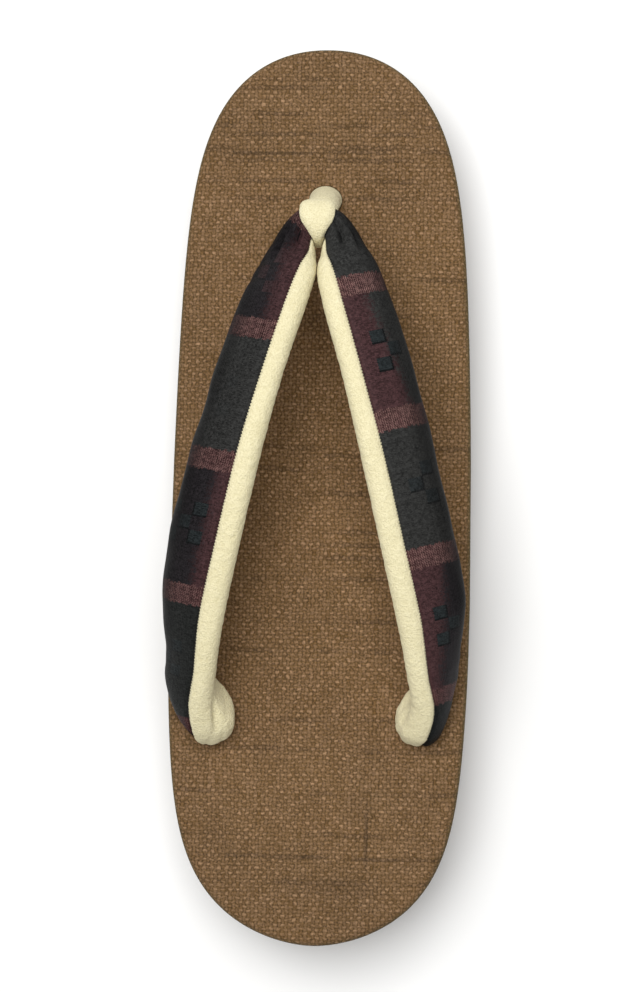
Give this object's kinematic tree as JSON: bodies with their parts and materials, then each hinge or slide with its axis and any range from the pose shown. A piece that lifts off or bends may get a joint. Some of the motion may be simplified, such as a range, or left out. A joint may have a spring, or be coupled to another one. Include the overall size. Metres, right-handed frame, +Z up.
{
  "type": "zori sandal",
  "caption": "Flat oval thong sandal with a linen-covered wedge sole and a padded V-shaped two-tone cloth strap held by a suede toe loop.",
  "frame": {"origin": "on the floor, below the middle of the sandal's bounding box", "axes": "+Y towards the toe, +X to the wearer's right, +Z up"},
  "size_m": [0.0828, 0.245, 0.0652],
  "materials": {
    "rubber": "matte, finely ribbed",
    "side_cloth": "brown linen wrapped round the core",
    "top_cloth": "coarse brown linen weave",
    "strap_cloth": "dark figured cloth with wine-red bands",
    "lining": "cream brushed cloth",
    "loop": "cream suede"
  },
  "bodies": {
    "root": {"outsole": "rubber", "midsole": "side_cloth", "insole": "top_cloth", "strap_cloth": "strap_cloth", "strap_lining": "lining", "front_loop": "loop"}
  },
  "joints": []
}
